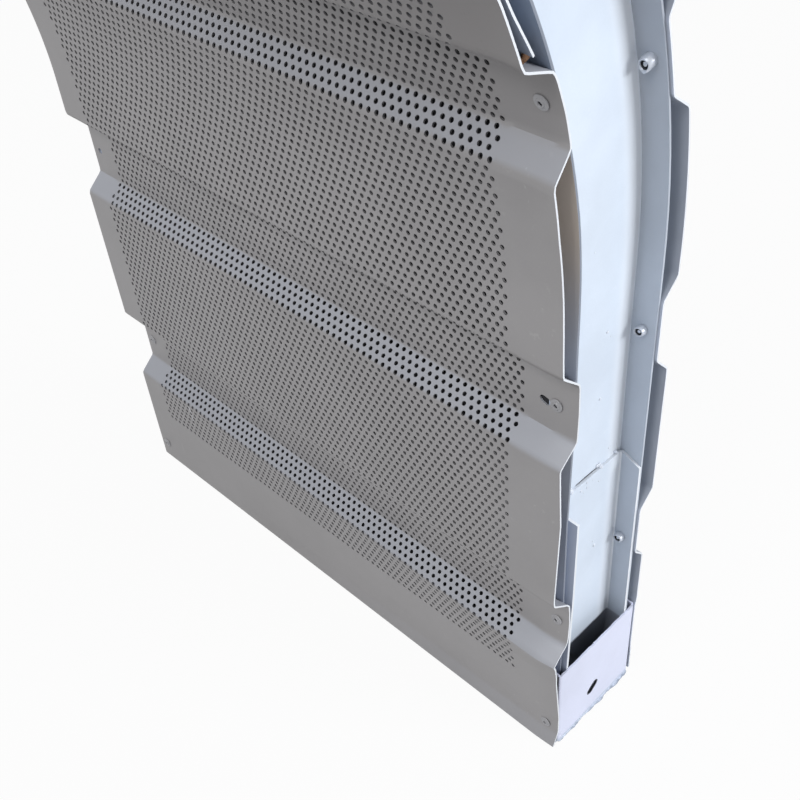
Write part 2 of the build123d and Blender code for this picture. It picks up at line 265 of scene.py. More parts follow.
# the front, back, web, flange, base and plate colours are lit and shaded copies of one grey powder coat:
# painted light and shade
coatLooks = {
    "front": {"colour": rgb(154, 152, 153), "dusty": rgb(186, 185, 184), "scuffs": 0.5, "wave": 0.05,
              "extra": frontPaintedLight},
    "edge": {"colour": rgb(216, 220, 226), "dusty": rgb(226, 228, 232), "rough": 0.4},
    "back": {"colour": rgb(172, 179, 192), "dusty": rgb(180, 184, 192), "wave": 0.05},
    "web": {"colour": rgb(205, 215, 228), "dusty": rgb(222, 228, 236), "extra": webPaintedLight},
    "frontFlange": {"colour": rgb(196, 204, 219), "dusty": rgb(196, 200, 208), "extra": frontFlangePaintedLight},
    "rearFlange": {"colour": rgb(178, 186, 197), "dusty": rgb(178, 184, 194), "extra": rearFlangePaintedShade},
    "base": {"colour": rgb(207, 211, 230), "dusty": rgb(224, 227, 238)},
    "plate": {"colour": rgb(205, 209, 228), "dusty": rgb(224, 227, 238), "extra": plateShade},
    "inside": {"colour": rgb(150, 160, 176), "dusty": rgb(170, 178, 190)},
    # painted shade in the walls of the holes
    "holeWall": {"colour": rgb(116, 115, 117), "dusty": rgb(128, 127, 128)},
    # painted shade on the cut edge of the front flange
    "rim": {"colour": rgb(122, 129, 142), "dusty": rgb(170, 178, 190), "rough": 0.42},
    # painted shade on the back of the end plate, in the pocket
    "plateBack": {"colour": rgb(78, 83, 92), "dusty": rgb(110, 116, 124)},
    "rivet": {"colour": rgb(160, 160, 163), "dusty": rgb(190, 190, 192), "rough": 0.42},
    "tail": {"colour": rgb(192, 197, 206), "dusty": rgb(130, 133, 140), "rough": 0.38, "cloud": 0.15,
             "metal": 0.35},
    "weld": {"colour": rgb(214, 220, 230), "dusty": rgb(120, 124, 132), "rough": 0.35, "peel": 0.5},
    # painted shade in the rivet bores, the slot of the end plate and the joint above the sleeve
    "dark": {"colour": rgb(38, 40, 46), "dusty": rgb(60, 60, 64), "rough": 0.8},
    "foam": {"colour": rgb(90, 62, 40), "dusty": rgb(130, 96, 62), "rough": 0.9, "peel": 0.6},
}
coats = {name: powderCoat(name + "Paint", **look) for name, look in coatLooks.items()}
print("coats mixed")


def woolFleece():
    # dark glass fleece over the wool board
    material, tree = newMaterial("glassFleece")
    coord = addNode(tree, "ShaderNodeTexCoord", None, 3)
    fibres = noiseOf(tree, coord, 600, 5, 0.7)
    clumps = noiseOf(tree, coord, 60, 3, 0.6)
    stops = [(0.3, rgb(22, 23, 27)[:3]), (0.7, rgb(46, 47, 52)[:3])]
    shade = addNode(tree, "ShaderNodeValToRGB", {"stops": stops}, 0, Fac=fibres * 0.6 + clumps * 0.4)
    normal = addNode(tree, "ShaderNodeBump", None, 0, Strength=0.5, Distance=0.0006, Height=fibres)
    shader = addNode(tree, "ShaderNodeBsdfPrincipled", None, 0, Base_Color=shade, Roughness=0.95,
                     Normal=normal)
    finishMaterial(tree, shader)
    return material


fleece = woolFleece()


# folded sheets: profiles in developed height and depth, in millimetres
def seatedFlats(look):
    # low fold, start and end of the seated flat, high fold, bay after bay
    starts = [look["firstFlat"] + bay * look["bayPitch"] for bay in range(look["bays"])]
    return [(a - look["flank"], a, a + look["flat"], a + look["flat"] + look["flank"]) for a in starts]


def rounded(values, width):
    before, after = 2 * values[0] - values[width:0:-1], 2 * values[-1] - values[-2:-width - 2:-1]
    smooth = np.convolve(np.concatenate([before, values, after]), np.ones(width) / width, "same")
    return smooth[width:-width]


class Fold:
    # one cross-section of a sheet: middle surface through developed folds
    def __init__(self, path, side, step=0.25, foldWidth=2.75):
        radius = runRadius(side)
        rises, offsets = np.array(path, float).T
        count = int((rises[-1] - rises[0]) / step) + 1
        self.rise = np.linspace(rises[0], rises[-1], count)
        width = int(foldWidth / step) | 1
        offset = rounded(np.interp(self.rise, rises, offsets), width)
        angle = np.maximum(self.rise - bend["straight"], 0) / radius
        reach = radius + side * offset
        base = bend["lift"] + np.minimum(self.rise, bend["straight"])
        self.y = centreY + reach * np.cos(angle)
        self.z = base + reach * np.sin(angle)
        stretch = np.hypot(np.diff(self.y), np.diff(self.z))
        self.run = np.concatenate([[0], np.cumsum(stretch)])
        dy, dz = np.gradient(self.y), np.gradient(self.z)
        length = np.hypot(dy, dz)
        self.outY, self.outZ = side * dz / length, -side * dy / length

    def runAt(self, rise):
        return float(np.interp(rise, self.rise, self.run))

    def point(self, rise, out):
        y = np.interp(rise, self.rise, self.y) + out * np.interp(rise, self.rise, self.outY)
        z = np.interp(rise, self.rise, self.z) + out * np.interp(rise, self.rise, self.outZ)
        return y, z


pull = {"start": 232, "width": 18, "power": 1.5}


def pullAt(x):
    # share of an end's bow at x: it dies out behind the rivets
    return np.clip((x - pull["start"]) / pull["width"], 0, 1) ** pull["power"]


class Sheet:
    # a folded sheet whose section may change from its left to its right end, with the right end bowed
    def __init__(self, path, side, rightPath=None, thickness=1.2, bow=((0, 0),)):
        self.thickness = thickness
        self.bow = np.array(bow, float).T
        self.left = Fold(path, side)
        self.right = Fold(rightPath, side) if rightPath else None
        self.length = self.left.run[-1]

    def place(self, x, run, out):
        x, run, out = np.broadcast_arrays(np.asarray(x, float), run, out)
        rise = np.interp(run, self.left.run, self.left.rise)
        out = out + np.interp(rise, *self.bow) * pullAt(x)
        y, z = self.left.point(rise, out)
        if self.right is not None:
            share = (x + bend["halfLength"]) / (2 * bend["halfLength"])
            yr, zr = self.right.point(rise, out)
            y, z = y + (yr - y) * share, z + (zr - z) * share
        return np.stack([x, y, z], -1) * mm


class Builder:
    def __init__(self):
        self.points, self.faces, self.slots, self.total = [], [], [], 0

    def add(self, points):
        points = np.asarray(points).reshape(-1, 3)
        self.points.append(points)
        start = self.total
        self.total += len(points)
        return start

    def face(self, rows, slot=0):
        self.faces += [list(map(int, row)) for row in rows]
        self.slots += [slot] * len(rows)

    def quads(self, corners, slot, flip):
        corners = corners[:1] + corners[:0:-1] if flip else corners
        self.face(np.stack(corners, -1), slot)

    def patch(self, grid, i, j, slot=0, flip=False):
        # cells of a grid of corners
        self.quads([grid[i, j], grid[i + 1, j], grid[i + 1, j + 1], grid[i, j + 1]], slot, flip)

    def strip(self, one, other, slot=0, flip=False):
        # cells between two rows of corners
        self.quads([one[:-1], one[1:], other[1:], other[:-1]], slot, flip)

    def ring(self, one, other, slot=0, flip=False):
        # cells between two closed rows
        self.strip(np.append(one, one[0]), np.append(other, other[0]), slot, flip)

    def build(self, name, materials, sharp=35):
        mesh = bpy.data.meshes.new(name)
        mesh.from_pydata(np.concatenate(self.points).tolist(), [], self.faces)
        for material in materials:
            mesh.materials.append(material)
        mesh.polygons.foreach_set("material_index", self.slots)
        mesh.polygons.foreach_set("use_smooth", [True] * len(self.faces))
        mesh.validate()
        mesh.set_sharp_from_angle(angle=math.radians(sharp))
        piece = bpy.data.objects.new(name, mesh)
        scene.collection.objects.link(piece)
        return piece


def allCells(nx, ny):
    return (g.ravel() for g in np.meshgrid(np.arange(nx - 1), np.arange(ny - 1), indexing="ij"))


rimSides = 12
holeRim = np.radians(np.arange(rimSides) * 360 / rimSides)


def ringRound(i0, i1, j0, j1):
    # grid corners round a window, in turn
    ring = [(i, j0) for i in range(i0, i1)] + [(i1, j) for j in range(j0, j1)]
    ring += [(i, j1) for i in range(i1, i0, -1)] + [(i0, j) for j in range(j1, j0, -1)]
    return np.array(ring)


def perforatedSheet(name, sheet, runLow, runHigh, rowRuns, rowShift, look, materials, single=()):
    # rows of round holes between runLow and runHigh; plain margins beside them, where
    # single holes may be cut: (x, run, radius, stretch, lean). The field of rows is its outer
    # face and the walls of its holes, without an inner face.
    b = Builder()
    half = sheet.thickness / 2
    pitch, step = look["pitch"], look["pitch"] * math.sqrt(3) / 2
    grid = look["firstX"] + np.arange(look["columns"] * 2 + 2) * pitch / 2
    leftCols = np.linspace(-bend["halfLength"], grid[0], 7)[:-1]
    rightCols = np.linspace(grid[-1], bend["halfLength"], 9)[1:]
    xs = np.concatenate([leftCols, grid, rightCols])
    first = len(leftCols)
    # run lines at row borders and row middles
    low = rowRuns[0] - step / 2
    count = max(int(round((low - runLow) / (step / 2))), 1)
    runs = list(np.linspace(runLow, low, count + 1))
    firstRow = len(runs) - 1
    for r in rowRuns:
        runs += [r, r + step / 2]
    high = runs[-1]
    count = max(int(round((runHigh - high) / (step / 2))), 1)
    runs += list(np.linspace(high, runHigh, count + 1))[1:]
    runs = np.array(runs)
    nx, nu = len(xs), len(runs)
    xGrid, runGrid = np.meshgrid(xs, runs, indexing="ij")
    at = b.add(sheet.place(xGrid, runGrid, half)) + np.arange(nx * nu).reshape(nx, nu)
    holed = np.zeros((nx - 1, nu - 1), bool)
    centres = []
    for k, r in enumerate(rowRuns):
        start = first + (rowShift + k) % 2
        j = firstRow + 2 * k
        for c in range(look["columns"]):
            i = start + 2 * c
            holed[i:i + 2, j:j + 2] = True
            centres.append((i, j))
    inner = b.add(sheet.place(xGrid, runGrid, -half)) + np.arange(nx * nu).reshape(nx, nu)
    for x, run, radius, stretch, lean in single:
        if not runLow + look["clear"] < run < runHigh - look["clear"]:
            continue
        reach = radius * stretch + 1.2
        i0, i1 = np.searchsorted(xs, x - reach) - 1, np.searchsorted(xs, x + reach)
        j0, j1 = np.searchsorted(runs, run - reach) - 1, np.searchsorted(runs, run + reach)
        holed[i0:i1, j0:j1] = True
        ring = ringRound(i0, i1, j0, j1)
        dx, du = xs[ring[:, 0]] - x, runs[ring[:, 1]] - run
        angle = np.arctan2(du, dx)
        size = radius * (1 + (stretch - 1) * np.maximum(np.cos(angle - lean), 0) ** 3)
        rimX, rimU = x + size * np.cos(angle), run + size * np.sin(angle)
        top = b.add(sheet.place(rimX, rimU, half)) + np.arange(len(ring))
        low = b.add(sheet.place(rimX, rimU, -half)) + np.arange(len(ring))
        edge, under = at[ring[:, 0], ring[:, 1]], inner[ring[:, 0], ring[:, 1]]
        b.ring(edge, top)
        b.ring(under, low, 1, flip=True)
        b.ring(top, low)
    b.patch(at, *np.nonzero(~holed))
    ci, cj = np.array(centres).T
    cx, cu = xs[ci + 1][:, None], runs[cj + 1][:, None]
    radius = look["hole"] / 2
    rimX, rimU = cx + radius * np.cos(holeRim), cu + radius * np.sin(holeRim)
    corners = np.arange(len(centres) * rimSides).reshape(-1, rimSides)
    top = b.add(sheet.place(rimX, rimU, half)) + corners
    low = b.add(sheet.place(rimX, rimU, -half)) + corners
    ring = [at[ci + 2, cj + 1], at[ci + 2, cj + 2], at[ci + 1, cj + 2], at[ci, cj + 2],
            at[ci, cj + 1], at[ci, cj], at[ci + 1, cj], at[ci + 2, cj]]
    for q in range(4):
        mid, corner, end = ring[2 * q], ring[2 * q + 1], ring[(2 * q + 2) % 8]
        c0, c1, c2, c3 = (top[:, (3 * q + s) % rimSides] for s in range(4))
        b.face(np.stack([mid, corner, c1, c0], -1))
        b.face(np.stack([corner, c2, c1], -1))
        b.face(np.stack([corner, end, c3, c2], -1))
    for s in range(rimSides):
        after = (s + 1) % rimSides
        b.face(np.stack([top[:, s], top[:, after], low[:, after], low[:, s]], -1), 3)
    # inner face of the plain margins, and the cut edges all round
    for cols in (range(0, first), range(nx - 1 - len(rightCols), nx - 1)):
        for i in cols:
            b.patch(inner, i, np.flatnonzero(~holed[i]), flip=True)
    b.strip(at[-1], inner[-1], 2, flip=True)
    b.strip(at[0], inner[0], 2)
    if look.get("lowEdge", True):
        b.strip(at[:, 0], inner[:, 0], 2, flip=True)
    if look.get("highEdge", True):
        b.strip(at[:, -1], inner[:, -1], 2)
    return b.build(name, materials)


# front sheets: perforation, ribs, toe at the foot, and the lap in the third rib
frontLook = {
    "pitch": 6.0, "hole": 3.1, "firstX": -222.15, "columns": 72, "rowZero": 102.2, "rowsBelow": 7,
    "rowsEnd": 8, "upperFirst": 14.0, "upperEnd": 60, "clear": 8,
    "bays": 4, "firstFlat": 115.6, "bayPitch": 189.5, "flat": 41.3, "flank": 13.0, "rib": 14.9, "seat": 0.65,
    "toe": [(0, 10.3), (13.5, 5.1), (31.5, 5.1), (85.6, 10.8)], "run": 841,
    "lapBay": 2, "lapEnd": 65, "tail": [(2, 7.6), (53, 13.65)], "tailTop": 0.589, "parts": 3,
    # torn hole beside the third rivet at the right end, and the hole of the lost rivet at the left end:
    # x, developed height, radius, stretch, lean
    "single": [(228.2, 324.6, 2.8, 1.9, 165), (-241, 325.6, 2.5, 1.0, 0)],
    # how far the right end stands out of, or is pressed into, the even profile, by developed height
    "bow": [(40, -1.2), (80, -1.4), (97, -3.2), (112, -1.4), (122, -3), (137, -3.6), (150, -3), (160, -1.6),
            (176, 0), (200, -1.2), (244, -3.4), (272, -1.8), (292, -0.9), (325, -1.9), (346, -1.4), (372, 0),
            (395, 0.9), (450, 1.8), (478, 1), (492, 0), (512, -0.9), (530, -0.6), (549, 1.5), (565, 0.9),
            (582, 0)],
    "upperBow": [(548, 1.2), (565, 1.2), (574, 1), (584, 0)],
}


def frontPaths():
    k = frontLook
    ribs = []
    for low, start, end, high in seatedFlats(k):
        ribs += [(low, k["rib"]), (start, k["seat"]), (end, k["seat"]), (high, k["rib"])]
    lap = 4 * k["lapBay"] + 3  # fold where the lap starts
    lapStart = ribs[lap][0]
    lower = ribs[:lap + 1] + [(lapStart + k["lapEnd"], k["rib"])]
    upper = [(lapStart + rise, offset) for rise, offset in k["tail"]]
    upper += [(ribs[lap + 1][0] - 1.2, k["tail"][1][1])] + ribs[lap + 2:]
    upper += [(k["run"] - rise, offset) for rise, offset in k["toe"][::-1]]
    return [(0, k["rib"])] + lower, k["toe"] + lower, upper


lowerPath, drawnPath, upperPath = frontPaths()
lowerSheet = Sheet(lowerPath, -1, drawnPath, bow=frontLook["bow"])
upperSheet = Sheet(upperPath, -1, bow=frontLook["upperBow"])
rowStep = frontLook["pitch"] * math.sqrt(3) / 2
zeroRun = lowerSheet.left.runAt(frontLook["rowZero"])
rows = []
row = -frontLook["rowsBelow"]
while zeroRun + row * rowStep < lowerSheet.length - frontLook["rowsEnd"]:
    rows.append((row, zeroRun + row * rowStep))
    row += 1
single = [(x, lowerSheet.left.runAt(rise), radius, stretch, math.radians(lean))
          for x, rise, radius, stretch, lean in frontLook["single"]]
frontCoats = [coats[k] for k in ("front", "inside", "edge", "holeWall")]
parts = frontLook["parts"]
cuts = [0] + [round(len(rows) * s / parts) for s in range(1, parts)] + [len(rows)]
for s in range(parts):
    chunk = rows[cuts[s]:cuts[s + 1]]
    low = 0 if s == 0 else chunk[0][1] - rowStep / 2
    high = lowerSheet.length if s == parts - 1 else chunk[-1][1] + rowStep / 2
    look = dict(frontLook, lowEdge=s == 0, highEdge=s == parts - 1)
    skin = perforatedSheet(f"frontSkin{s + 1}", lowerSheet, low, high, [r for _, r in chunk],
                           chunk[0][0] % 2, look, frontCoats, single)
    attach(skin, "root")
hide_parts("front_sheet_lower")
upperRows = []
run = frontLook["upperFirst"]
while run < upperSheet.length - frontLook["upperEnd"]:
    upperRows.append(run)
    run += rowStep
upperSkin = perforatedSheet("upperFrontSkin", upperSheet, 0, upperSheet.length, upperRows, 0,
                            frontLook, frontCoats)
for polygon in upperSkin.data.polygons:  # its free tail, which hangs inside the lower sheet
    if polygon.center.z < frontLook["tailTop"] and polygon.material_index == 0:
        polygon.material_index = 1
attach(upperSkin, "root")
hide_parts("front_sheet_upper")

# back sheet: its own ribs, seated on the base channel at its foot
backLook = {
    "bays": 5, "firstFlat": 146.3, "bayPitch": 172.6, "flat": 43.2, "flank": 12.8, "rib": 13.4, "seat": 0.65,
    "foot": [(0, 7.9), (80, 7.9), (88, 9.8), (137.1, 9.8)], "top": 8.9, "run": 929.8,
    "bow": [(0, 1.9), (24, 1.7), (32, 0.9), (80, 0.6), (95, 0)],
}


def backPath():
    k = backLook
    path = list(k["foot"])
    flats = seatedFlats(k)
    for bay, (low, start, end, high) in enumerate(flats):
        path += [(low, k["rib"])] * (bay > 0) + [(start, k["seat"]), (end, k["seat"])]
        path += [(high, k["rib"])] * (bay < k["bays"] - 1)
    last = flats[-1][2]
    return path + [(last + k["flank"] * k["top"] / k["rib"], k["top"]), (k["run"], k["top"])]


def plainSheet(name, sheet, materials, columns=12, step=2.2):
    b = Builder()
    half = sheet.thickness / 2
    xs = np.linspace(-bend["halfLength"], bend["halfLength"], columns + 1)
    runs = np.linspace(0, sheet.length, int(sheet.length / step) + 1)
    xGrid, runGrid = np.meshgrid(xs, runs, indexing="ij")
    nx, nu = xGrid.shape
    at = b.add(sheet.place(xGrid, runGrid, half)) + np.arange(nx * nu).reshape(nx, nu)
    inner = b.add(sheet.place(xGrid, runGrid, -half)) + np.arange(nx * nu).reshape(nx, nu)
    cells = list(allCells(nx, nu))
    b.patch(at, *cells, flip=True)
    b.patch(inner, *cells)
    b.strip(at[-1], inner[-1], 1)
    b.strip(at[0], inner[0], 1, flip=True)
    b.strip(at[:, 0], inner[:, 0], 1)
    b.strip(at[:, -1], inner[:, -1], 1, flip=True)
    return b.build(name, materials)


backSheet = Sheet(backPath(), 1, bow=backLook["bow"])
backSkin = plainSheet("backSkin", backSheet, [coats["back"], coats["edge"]])
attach(backSkin, "root")
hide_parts("back_sheet")
print("back skin")

# front flange of the right channel: trimmed narrower in the lower half, pressed in at the rivets
flangeShape = {
    "thickness": 1.5, "run": 841, "fold": 229, "columns": 10, "rows": 260,
    "edge": [(0, 245), (160, 244.4), (230, 245), (290, 246), (372, 246.6), (450, 248)],
    "bow": [(0, -1), (115, -3), (137, -3.6), (155, -2.8), (230, -1.2), (325, -1.9), (346, -1.4), (400, 0)],
}


def flangePiece(name, look):
    half, columns = look["thickness"] / 2, look["columns"]
    sheet = Sheet([(0, -half), (look["run"], -half)], -1, thickness=look["thickness"], bow=look["bow"])
    b = Builder()
    runs = np.linspace(0, sheet.length, look["rows"])
    rises = np.interp(runs, sheet.left.run, sheet.left.rise)
    free = np.interp(rises, *np.array(look["edge"], float).T)
    share = np.linspace(0, 1, columns)[:, None]
    xGrid, runGrid = look["fold"] + share * (free - look["fold"]), np.broadcast_to(runs, (columns, len(runs)))
    at = b.add(sheet.place(xGrid, runGrid, half)) + np.arange(xGrid.size).reshape(xGrid.shape)
    inner = b.add(sheet.place(xGrid, runGrid, -half)) + np.arange(xGrid.size).reshape(xGrid.shape)
    cells = list(allCells(columns, len(runs)))
    b.patch(at, *cells)
    b.patch(inner, *cells, flip=True)
    b.strip(at[-1], inner[-1], 1, flip=True)
    b.strip(at[0], inner[0], 1)
    for end in (0, -1):
        b.strip(at[:, end], inner[:, end], 1, flip=True)
    return b.build(name, [coats["frontFlange"], coats["rim"]])


flangeSkin = flangePiece("frontFlangeSkin", flangeShape)
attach(flangeSkin, "root")
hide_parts("front_flange_right")

# sleeve in the foot of the right channel; its front flange leans in and its top is cut on a slant
sleeveLook = {"x": 230.55, "free": 248.3, "front": -37.95, "rear": 35.15, "thickness": 2, "bend": 2.5,
              "foot": 1.5, "topWeb": 239.0, "topFront": 229.5, "topRear": 232.5, "levels": 30,
              "lean": [(0, 1.4), (80, 2.6), (115, 3.7), (160, 5.4), (232, 6.4)]}


def sleevePiece(name, look):
    b = Builder()
    half, turn = look["thickness"] / 2, look["bend"]
    web, front, rear = look["x"] + half, look["front"] + half, look["rear"] - half
    corner = np.radians(np.linspace(0, 90, 6))
    line = [(x, front) for x in np.linspace(look["free"], web + turn, 6)]
    line += [(web + turn - turn * math.sin(a), front + turn - turn * math.cos(a)) for a in corner[1:-1]]
    line += [(web, y) for y in np.linspace(front + turn, rear - turn, 16)]
    line += [(web + turn - turn * math.cos(a), rear - turn + turn * math.sin(a)) for a in corner[1:-1]]
    line += [(x, rear) for x in np.linspace(web + turn, look["free"], 6)]
    line = np.array(line)
    ahead = np.gradient(line, axis=0)
    ahead /= np.hypot(*ahead.T)[:, None]
    out = np.stack([ahead[:, 1], -ahead[:, 0]], -1)
    share = np.clip((line[:, 0] - web - turn) / (look["free"] - web - turn), 0, 1)
    isFront = line[:, 1] < 0
    topEdge = np.where(isFront, look["topFront"], look["topRear"])
    top = look["topWeb"] + (topEdge - look["topWeb"]) * share
    grids = []
    for side in (1, -1):
        points = []
        for level in np.linspace(0, 1, look["levels"] + 1):
            z = look["foot"] + (top - look["foot"]) * level
            lean = np.interp(z, *np.array(look["lean"], float).T) * share * isFront
            x = line[:, 0] + side * half * out[:, 0]
            y = line[:, 1] + side * half * out[:, 1] + lean
            points.append(np.stack([x, y, z], -1) * mm)
        numbers = np.arange((look["levels"] + 1) * len(line)).reshape(-1, len(line))
        grids.append(b.add(np.stack(points)) + numbers)
    outer, inner = grids
    slots = np.where(np.abs(line[:-1, 0] - web) < turn * 0.6, 0, np.where(line[:-1, 1] < 0, 2, 1))
    levels = np.arange(look["levels"])
    for c, slot in enumerate(slots.tolist()):
        b.patch(outer, levels, c, slot, flip=True)
        b.patch(inner, levels, c, slot)
    b.strip(outer[-1], inner[-1], 3)
    b.strip(outer[0], inner[0], 3, flip=True)
    b.strip(outer[:, 0], inner[:, 0], 3)
    b.strip(outer[:, -1], inner[:, -1], 3, flip=True)
    return b.build(name, [coats["web"], coats["rearFlange"], coats["frontFlange"], coats["edge"]])


sleeveSkin = sleevePiece("sleeveSkin", sleeveLook)
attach(sleeveSkin, "root")
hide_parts("sleeve_right")


def blob(b, centre, size, noise, flat=0.45):
    # small uneven dome that faces +X
    rings, turns = 5, 10
    a = np.radians(np.arange(turns) * 360 / turns)
    rows = []
    for ring in range(rings + 1):
        tilt = math.radians(90 * ring / rings)
        r = size * math.sin(tilt) * (1 + noise.normal(0, 0.13, turns) * (ring > 0))
        h = size * flat * math.cos(tilt) * (1 + noise.normal(0, 0.1))
        x = np.full(turns, centre[0] + h)
        rows.append(np.stack([x, centre[1] + r * np.cos(a), centre[2] + r * np.sin(a)], -1))
    rows = np.stack(rows) * mm
    at = b.add(rows) + np.arange((rings + 1) * turns).reshape(-1, turns)
    for ring in range(rings):
        b.ring(at[ring], at[ring + 1], flip=True)


def platePiece(name, look, seed):
    # rolled sides and foot, sawn top edge with a burr, slanted slot, ragged lip at the foot
    b = Builder()
    noise = np.random.default_rng(seed)
    edge = np.array([0, 0.3, 0.7, 1.2, 1.8, 2.4, 3.0, 4.0])
    half, low, high, turn = look["half"], look["low"], look["high"], look["bend"]
    ys = np.concatenate([-half + edge, np.linspace(-half + 5.5, half - 5.5, 40), (half - edge)[::-1]])
    zs = np.concatenate([low + edge, np.linspace(low + 5.5, high - 2, 40), [high - 1, high]])
    yGrid, zGrid = np.meshgrid(ys, zs, indexing="ij")

    def smooth(rough):
        return np.convolve(noise.normal(0, rough, len(ys) + 4), np.ones(3) / 3, "same")[2:-2]

    top = np.minimum(smooth(0.55), 0.4) - 0.9 * np.exp(-((ys + 6.5) / 1.3) ** 2)
    foot = np.abs(smooth(0.5))
    nearTop, nearFoot = np.clip((zGrid - high + 6) / 6, 0, 1), np.clip((low + 5 - zGrid) / 5, 0, 1)
    zGrid = zGrid + top[:, None] * nearTop + foot[:, None] * nearFoot
    side = np.maximum(turn - (half - np.abs(yGrid)), 0)
    under = np.maximum(turn - (zGrid - low), 0)
    reach = np.minimum(np.hypot(side, under), turn) / turn
    inward = look["thickness"] * (1 - np.sqrt(1 - reach ** 2))
    bow = look["bulge"] * np.sin(np.clip(zGrid / high, 0, 1) * math.pi) * np.cos(yGrid / half * math.pi / 2)
    xGrid = look["x"] - inward - bow
    ny, nz = yGrid.shape
    grids = [b.add(np.stack([xGrid - drop, yGrid, zGrid], -1) * mm) + np.arange(ny * nz).reshape(ny, nz)
             for drop in (0, look["thickness"])]
    cy, cz = look["slotAt"]
    size = look["slotRun"] + look["slotRadius"]
    i0, i1 = np.searchsorted(ys, cy - size) - 1, np.searchsorted(ys, cy + size)
    j0, j1 = np.searchsorted(zs, cz - size) - 1, np.searchsorted(zs, cz + size)
    holed = np.zeros((ny - 1, nz - 1), bool)
    holed[i0:i1, j0:j1] = True
    ring = ringRound(i0, i1, j0, j1)
    lean = math.radians(look["slotAngle"])
    angle = np.arctan2(zGrid[ring[:, 0], ring[:, 1]] - cz, yGrid[ring[:, 0], ring[:, 1]] - cy) - lean
    c, s = np.cos(angle), np.sin(angle)
    run, r = look["slotRun"], look["slotRadius"]
    cap = run * np.abs(c) + np.sqrt(np.maximum(r * r - (run * s) ** 2, 0))
    flat = r / np.maximum(np.abs(s), 1e-6)
    far = np.where(flat * np.abs(c) <= run, flat, cap) * (1 + 0.05 * np.sin(5 * angle + 1))
    sy = cy + far * np.cos(angle + lean)
    sz = cz + far * np.sin(angle + lean)
    rims = []
    for drop in (0, look["thickness"]):
        sx = np.full(len(ring), look["x"] - 0.3 - drop)
        rims.append(b.add(np.stack([sx, sy, sz], -1) * mm) + np.arange(len(ring)))
    for layer, (grid, rim) in enumerate(zip(grids, rims)):
        b.patch(grid, *np.nonzero(~holed), layer)
        b.ring(grid[ring[:, 0], ring[:, 1]], rim, layer)
    # the slot's wall takes the dark coat: painted shade
    b.ring(*rims, 2)
    face, back = grids
    for end in (0, -1):
        b.strip(face[end], back[end])
        b.strip(face[:, end], back[:, end])
    for y, z, size in look["burrs"]:
        blob(b, (look["x"] - 1.2, y, z), size, noise, 1.1)
    lipY = ys[4:-2]
    taper = np.minimum(np.minimum(lipY + half, half - lipY) / 3, 1)
    sunk = look["lipSunk"]
    width = look["lipWidth"] + look["lipGrowth"] * lipY / half + smooth(look["lipRough"])[4:-2]
    lip = (np.clip(width, *look["lipLimits"]) + sunk) * taper - sunk
    root = np.full(len(lipY), -sunk)
    line = []
    for over, z in ((root, root * 0 + 2.2), (lip, 0.9 + np.abs(smooth(0.3)[4:-2])), (root, root * 0 + 0.2)):
        line.append(b.add(np.stack([look["x"] + over, lipY, z], -1) * mm) + np.arange(len(lipY)))
    for first, then in ((0, 1), (1, 2), (2, 0)):
        b.strip(line[then], line[first])
    return b.build(name, [coats["plate"], coats["plateBack"], coats["dark"]], sharp=50)


plateSkin = platePiece("basePlateSkin", plateLook, 5)
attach(plateSkin, "root")
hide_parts("base_plate_right")
print("sleeve and plate")

# blind rivets: washer-like head with a raised eye, hollow tail on the far side
rivetLook = {
    "footRise": 18.2, "frontAbove": (21.5, 20.5, 21.5, 20.0), "frontTop": 822.8,
    "backAbove": (13.5, 20, 19.5, 18, 18), "backTop": 911.6,
    "frontRight": [11, 9, 14.5, 12, 12, 12], "frontLeft": [9, 9, 9, 12, 12, 12], "backInset": 11,
    "lost": 2, "torn": "back_rivet_right_4",
    "head": [(0, 0.02), (4.35, 0.02), (4.38, 0.35), (4.15, 0.7), (3.4, 0.85), (2.75, 0.98), (2.5, 1.35),
             (2.1, 1.6), (1.62, 1.58), (1.35, 1.3), (1.2, 0.8), (1.15, -1.2), (0, -1.25)],
    "tail": [(2.4, 0.1), (3.45, 0), (3.7, -0.6), (3.7, -2.6), (3.55, -4.3), (3.3, -5.0), (2.9, -5.2),
             (2.5, -5.0), (2.35, -4.3), (2.25, -2.6), (1.3, -2.6), (1.15, -3.9), (0.7, -4.1), (0, -4.05)],
    # rows of the head's hole and the tail's bore take the dark coat: painted shade
    "headDark": (10, 99), "tailDark": (8, 10), "turns": 20,
    "seat": 0.05, "frontFoot": (14.3, 4.5), "frontEnd": 4.5, "backFoot": 7.3, "backEnd": 8.3,
    "sheet": 1.3, "sleeveGrip": 3.6, "channelGrip": 1.55,
}


def rivetRises(look, above, top):
    seated = [look["firstFlat"] + look["bayPitch"] * bay + rise for bay, rise in enumerate(above)]
    return [rivetLook["footRise"]] + seated + [top]


def rivetSeat(side, rise, x):
    # height of the head's seat over the channel, and of the tail's seat below it
    k = rivetLook
    if side < 0:
        low, high = k["frontFoot"]
        foot, end = low + (high - low) * (x + bend["halfLength"]) / (2 * bend["halfLength"]), k["frontEnd"]
    else:
        foot, end = k["backFoot"], k["backEnd"]
    offset = foot if rise < 30 else end if rise > (800 if side < 0 else 900) else k["seat"]
    bows = frontLook["bow"] if side < 0 else backLook["bow"]
    bow = np.interp(rise, *np.array(bows, float).T) * pullAt(x)
    seat = offset + k["sheet"]
    return seat + bow, seat + (k["sleeveGrip"] if rise < 231 else k["channelGrip"])


